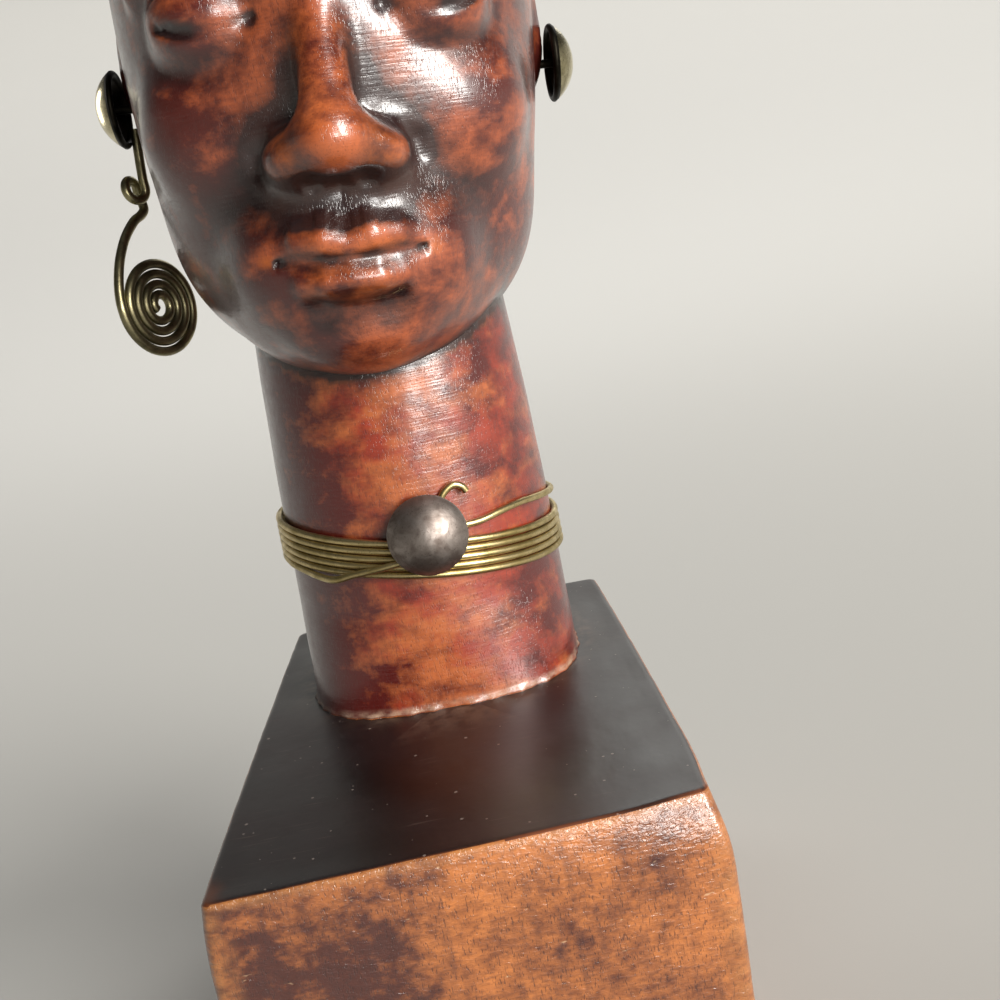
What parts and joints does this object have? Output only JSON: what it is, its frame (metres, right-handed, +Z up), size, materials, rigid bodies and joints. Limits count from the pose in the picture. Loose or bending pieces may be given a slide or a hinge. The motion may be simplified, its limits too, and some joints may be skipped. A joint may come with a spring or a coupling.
{
  "type": "wooden bust",
  "caption": "Carved and varnished wooden bust of a woman: head on a long neck and a rectangular block, with a wire collar, domed nails and one spiral earring.",
  "frame": {"origin": "middle of the block's underside, on the surface the bust stands on", "axes": "+Z up, -Y the way the face looks, +X to the viewer's right"},
  "size_m": [0.0702, 0.0985, 0.1858],
  "materials": {
    "carved_wood": "stained and varnished",
    "brass_wire": "dulled, drawn",
    "brass_nail": "dulled, pressed",
    "dark_nail": "darkened, pressed"
  },
  "bodies": {
    "root": {"bust": "carved_wood", "collar_wire": "brass_wire", "collar_tack": "dark_nail", "ear_stud_left": "brass_nail", "ear_stud_right": "brass_nail", "spiral_earring": "brass_wire"}
  },
  "joints": []
}
